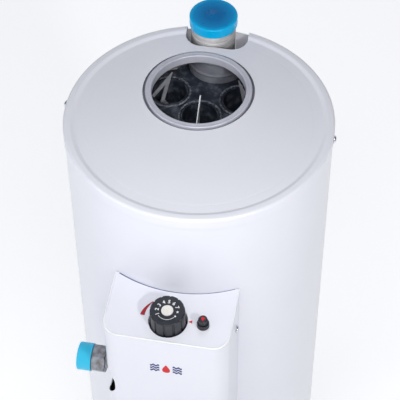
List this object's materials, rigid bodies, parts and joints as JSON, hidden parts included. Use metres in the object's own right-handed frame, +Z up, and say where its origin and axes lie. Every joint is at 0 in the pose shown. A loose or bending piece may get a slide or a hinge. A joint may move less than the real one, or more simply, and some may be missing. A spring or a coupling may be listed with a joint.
{
  "type": "gas water heater",
  "caption": "Floor-standing round gas water heater with a flue collar in its lid, a rear outlet pipe, and a front cover with a gas valve knob and spark button.",
  "frame": {"origin": "middle of the base pan's underside, on the jacket's axis", "axes": "+Z up along the jacket, -Y towards the front with the control cover, +X to the right of someone facing the front"},
  "size_m": [0.3258, 0.4131, 0.8758],
  "materials": {
    "enamel": "semi-gloss white enamel",
    "base": "satin dark grey paint",
    "hood": "satin grey sheet steel",
    "shell": "dark primed welded steel",
    "pipe": "bright threaded steel",
    "cap": "glossy translucent blue",
    "knob": "satin black",
    "insert": "matt white",
    "cast": "die cast, matt",
    "zinc": "mottled zinc plate",
    "plated": "bright plated",
    "wool": "mineral wool",
    "iron": "cast, matt",
    "brass": "turned",
    "copper": "drawn tube",
    "lead": "matt silicone",
    "ceramic": "glazed ceramic"
  },
  "bodies": {
    "heater": {"base_pan": "base", "boiler_shell": "shell", "burner_feed_pipe": "copper", "burner_orifice": "brass", "burner_tray": "hood", "control_cover": "enamel", "cover_bracket_left": "plated", "cover_bracket_right": "plated", "cover_screw_left": "plated", "cover_screw_right": "plated", "draught_hood": "hood", "draught_sensor": "cast", "fire_tube_1": "shell", "fire_tube_2": "shell", "fire_tube_3": "shell", "fire_tube_4": "shell", "fire_tube_5": "shell", "fire_tube_6": "shell", "firebox": "shell", "flue_collar": "hood", "gas_inlet_nipple": "zinc", "gas_inlet_nut": "zinc", "gas_valve_body": "cast", "ignition_lead": "lead", "inlet_elbow": "zinc", "insulation_blanket": "wool", "jacket": "enamel", "knob_spring": "plated", "lid": "enamel", "lid_screw_left": "plated", "lid_screw_right": "plated", "main_burner": "iron", "mixer_tube": "iron", "outlet_riser": "pipe", "piezo_body": "knob", "pilot_burner": "brass", "pilot_tube": "copper", "return_pipe": "pipe", "riser_shroud": "hood", "sensor_capillary": "copper", "sensor_pocket": "brass", "spark_electrode": "ceramic", "thermocouple": "copper", "top_tube_plate": "shell", "turbulator_1": "hood", "turbulator_2": "hood", "turbulator_3": "hood", "turbulator_4": "hood", "turbulator_5": "hood", "turbulator_6": "hood", "valve_bracket": "plated"},
    "push_sleeve": {"push_collar": "insert"},
    "knob": {"control_knob": "knob", "knob_disc": "insert", "control_spindle": "brass"},
    "igniter_button": {"piezo_button": "knob"},
    "outlet_plug": {"outlet_cap": "cap"},
    "return_plug": {"return_cap": "cap"},
    "inlet_plug": {"gas_inlet_cap": "cap"},
    "sight_shutter": {"sight_flap": "plated"}
  },
  "joints": [
    {"name": "knob_press", "type": "slide", "parent": "heater", "child": "push_sleeve", "axis": [0, 0.1045, -0.9945], "range_m": [0, 0.0045], "stiffness_N_per_m": 900, "deforming": ["knob_spring"]},
    {"name": "knob_turn", "type": "hinge", "parent": "push_sleeve", "child": "knob", "pos_m": [0, -0.1979, 0.7129], "axis": [0, -0.1045, 0.9945], "range_deg": [-210, 30]},
    {"name": "igniter_press", "type": "slide", "parent": "heater", "child": "igniter_button", "axis": [0, 0.1045, -0.9945], "range_m": [0, 0.006], "stiffness_N_per_m": 1200},
    {"name": "outlet_cap_pull", "type": "slide", "parent": "heater", "child": "outlet_plug", "axis": [0, 0, 1], "range_m": [0, 0.03]},
    {"name": "return_cap_pull", "type": "slide", "parent": "heater", "child": "return_plug", "axis": [0, 1, 0], "range_m": [0, 0.03]},
    {"name": "inlet_cap_pull", "type": "slide", "parent": "heater", "child": "inlet_plug", "axis": [-1, 0, 0], "range_m": [0, 0.03]},
    {"name": "sight_flap_swing", "type": "hinge", "parent": "heater", "child": "sight_shutter", "pos_m": [0.07945, -0.13761, 0.076], "axis": [0.5, -0.866, 0], "range_deg": [-90, 90]}
  ]
}
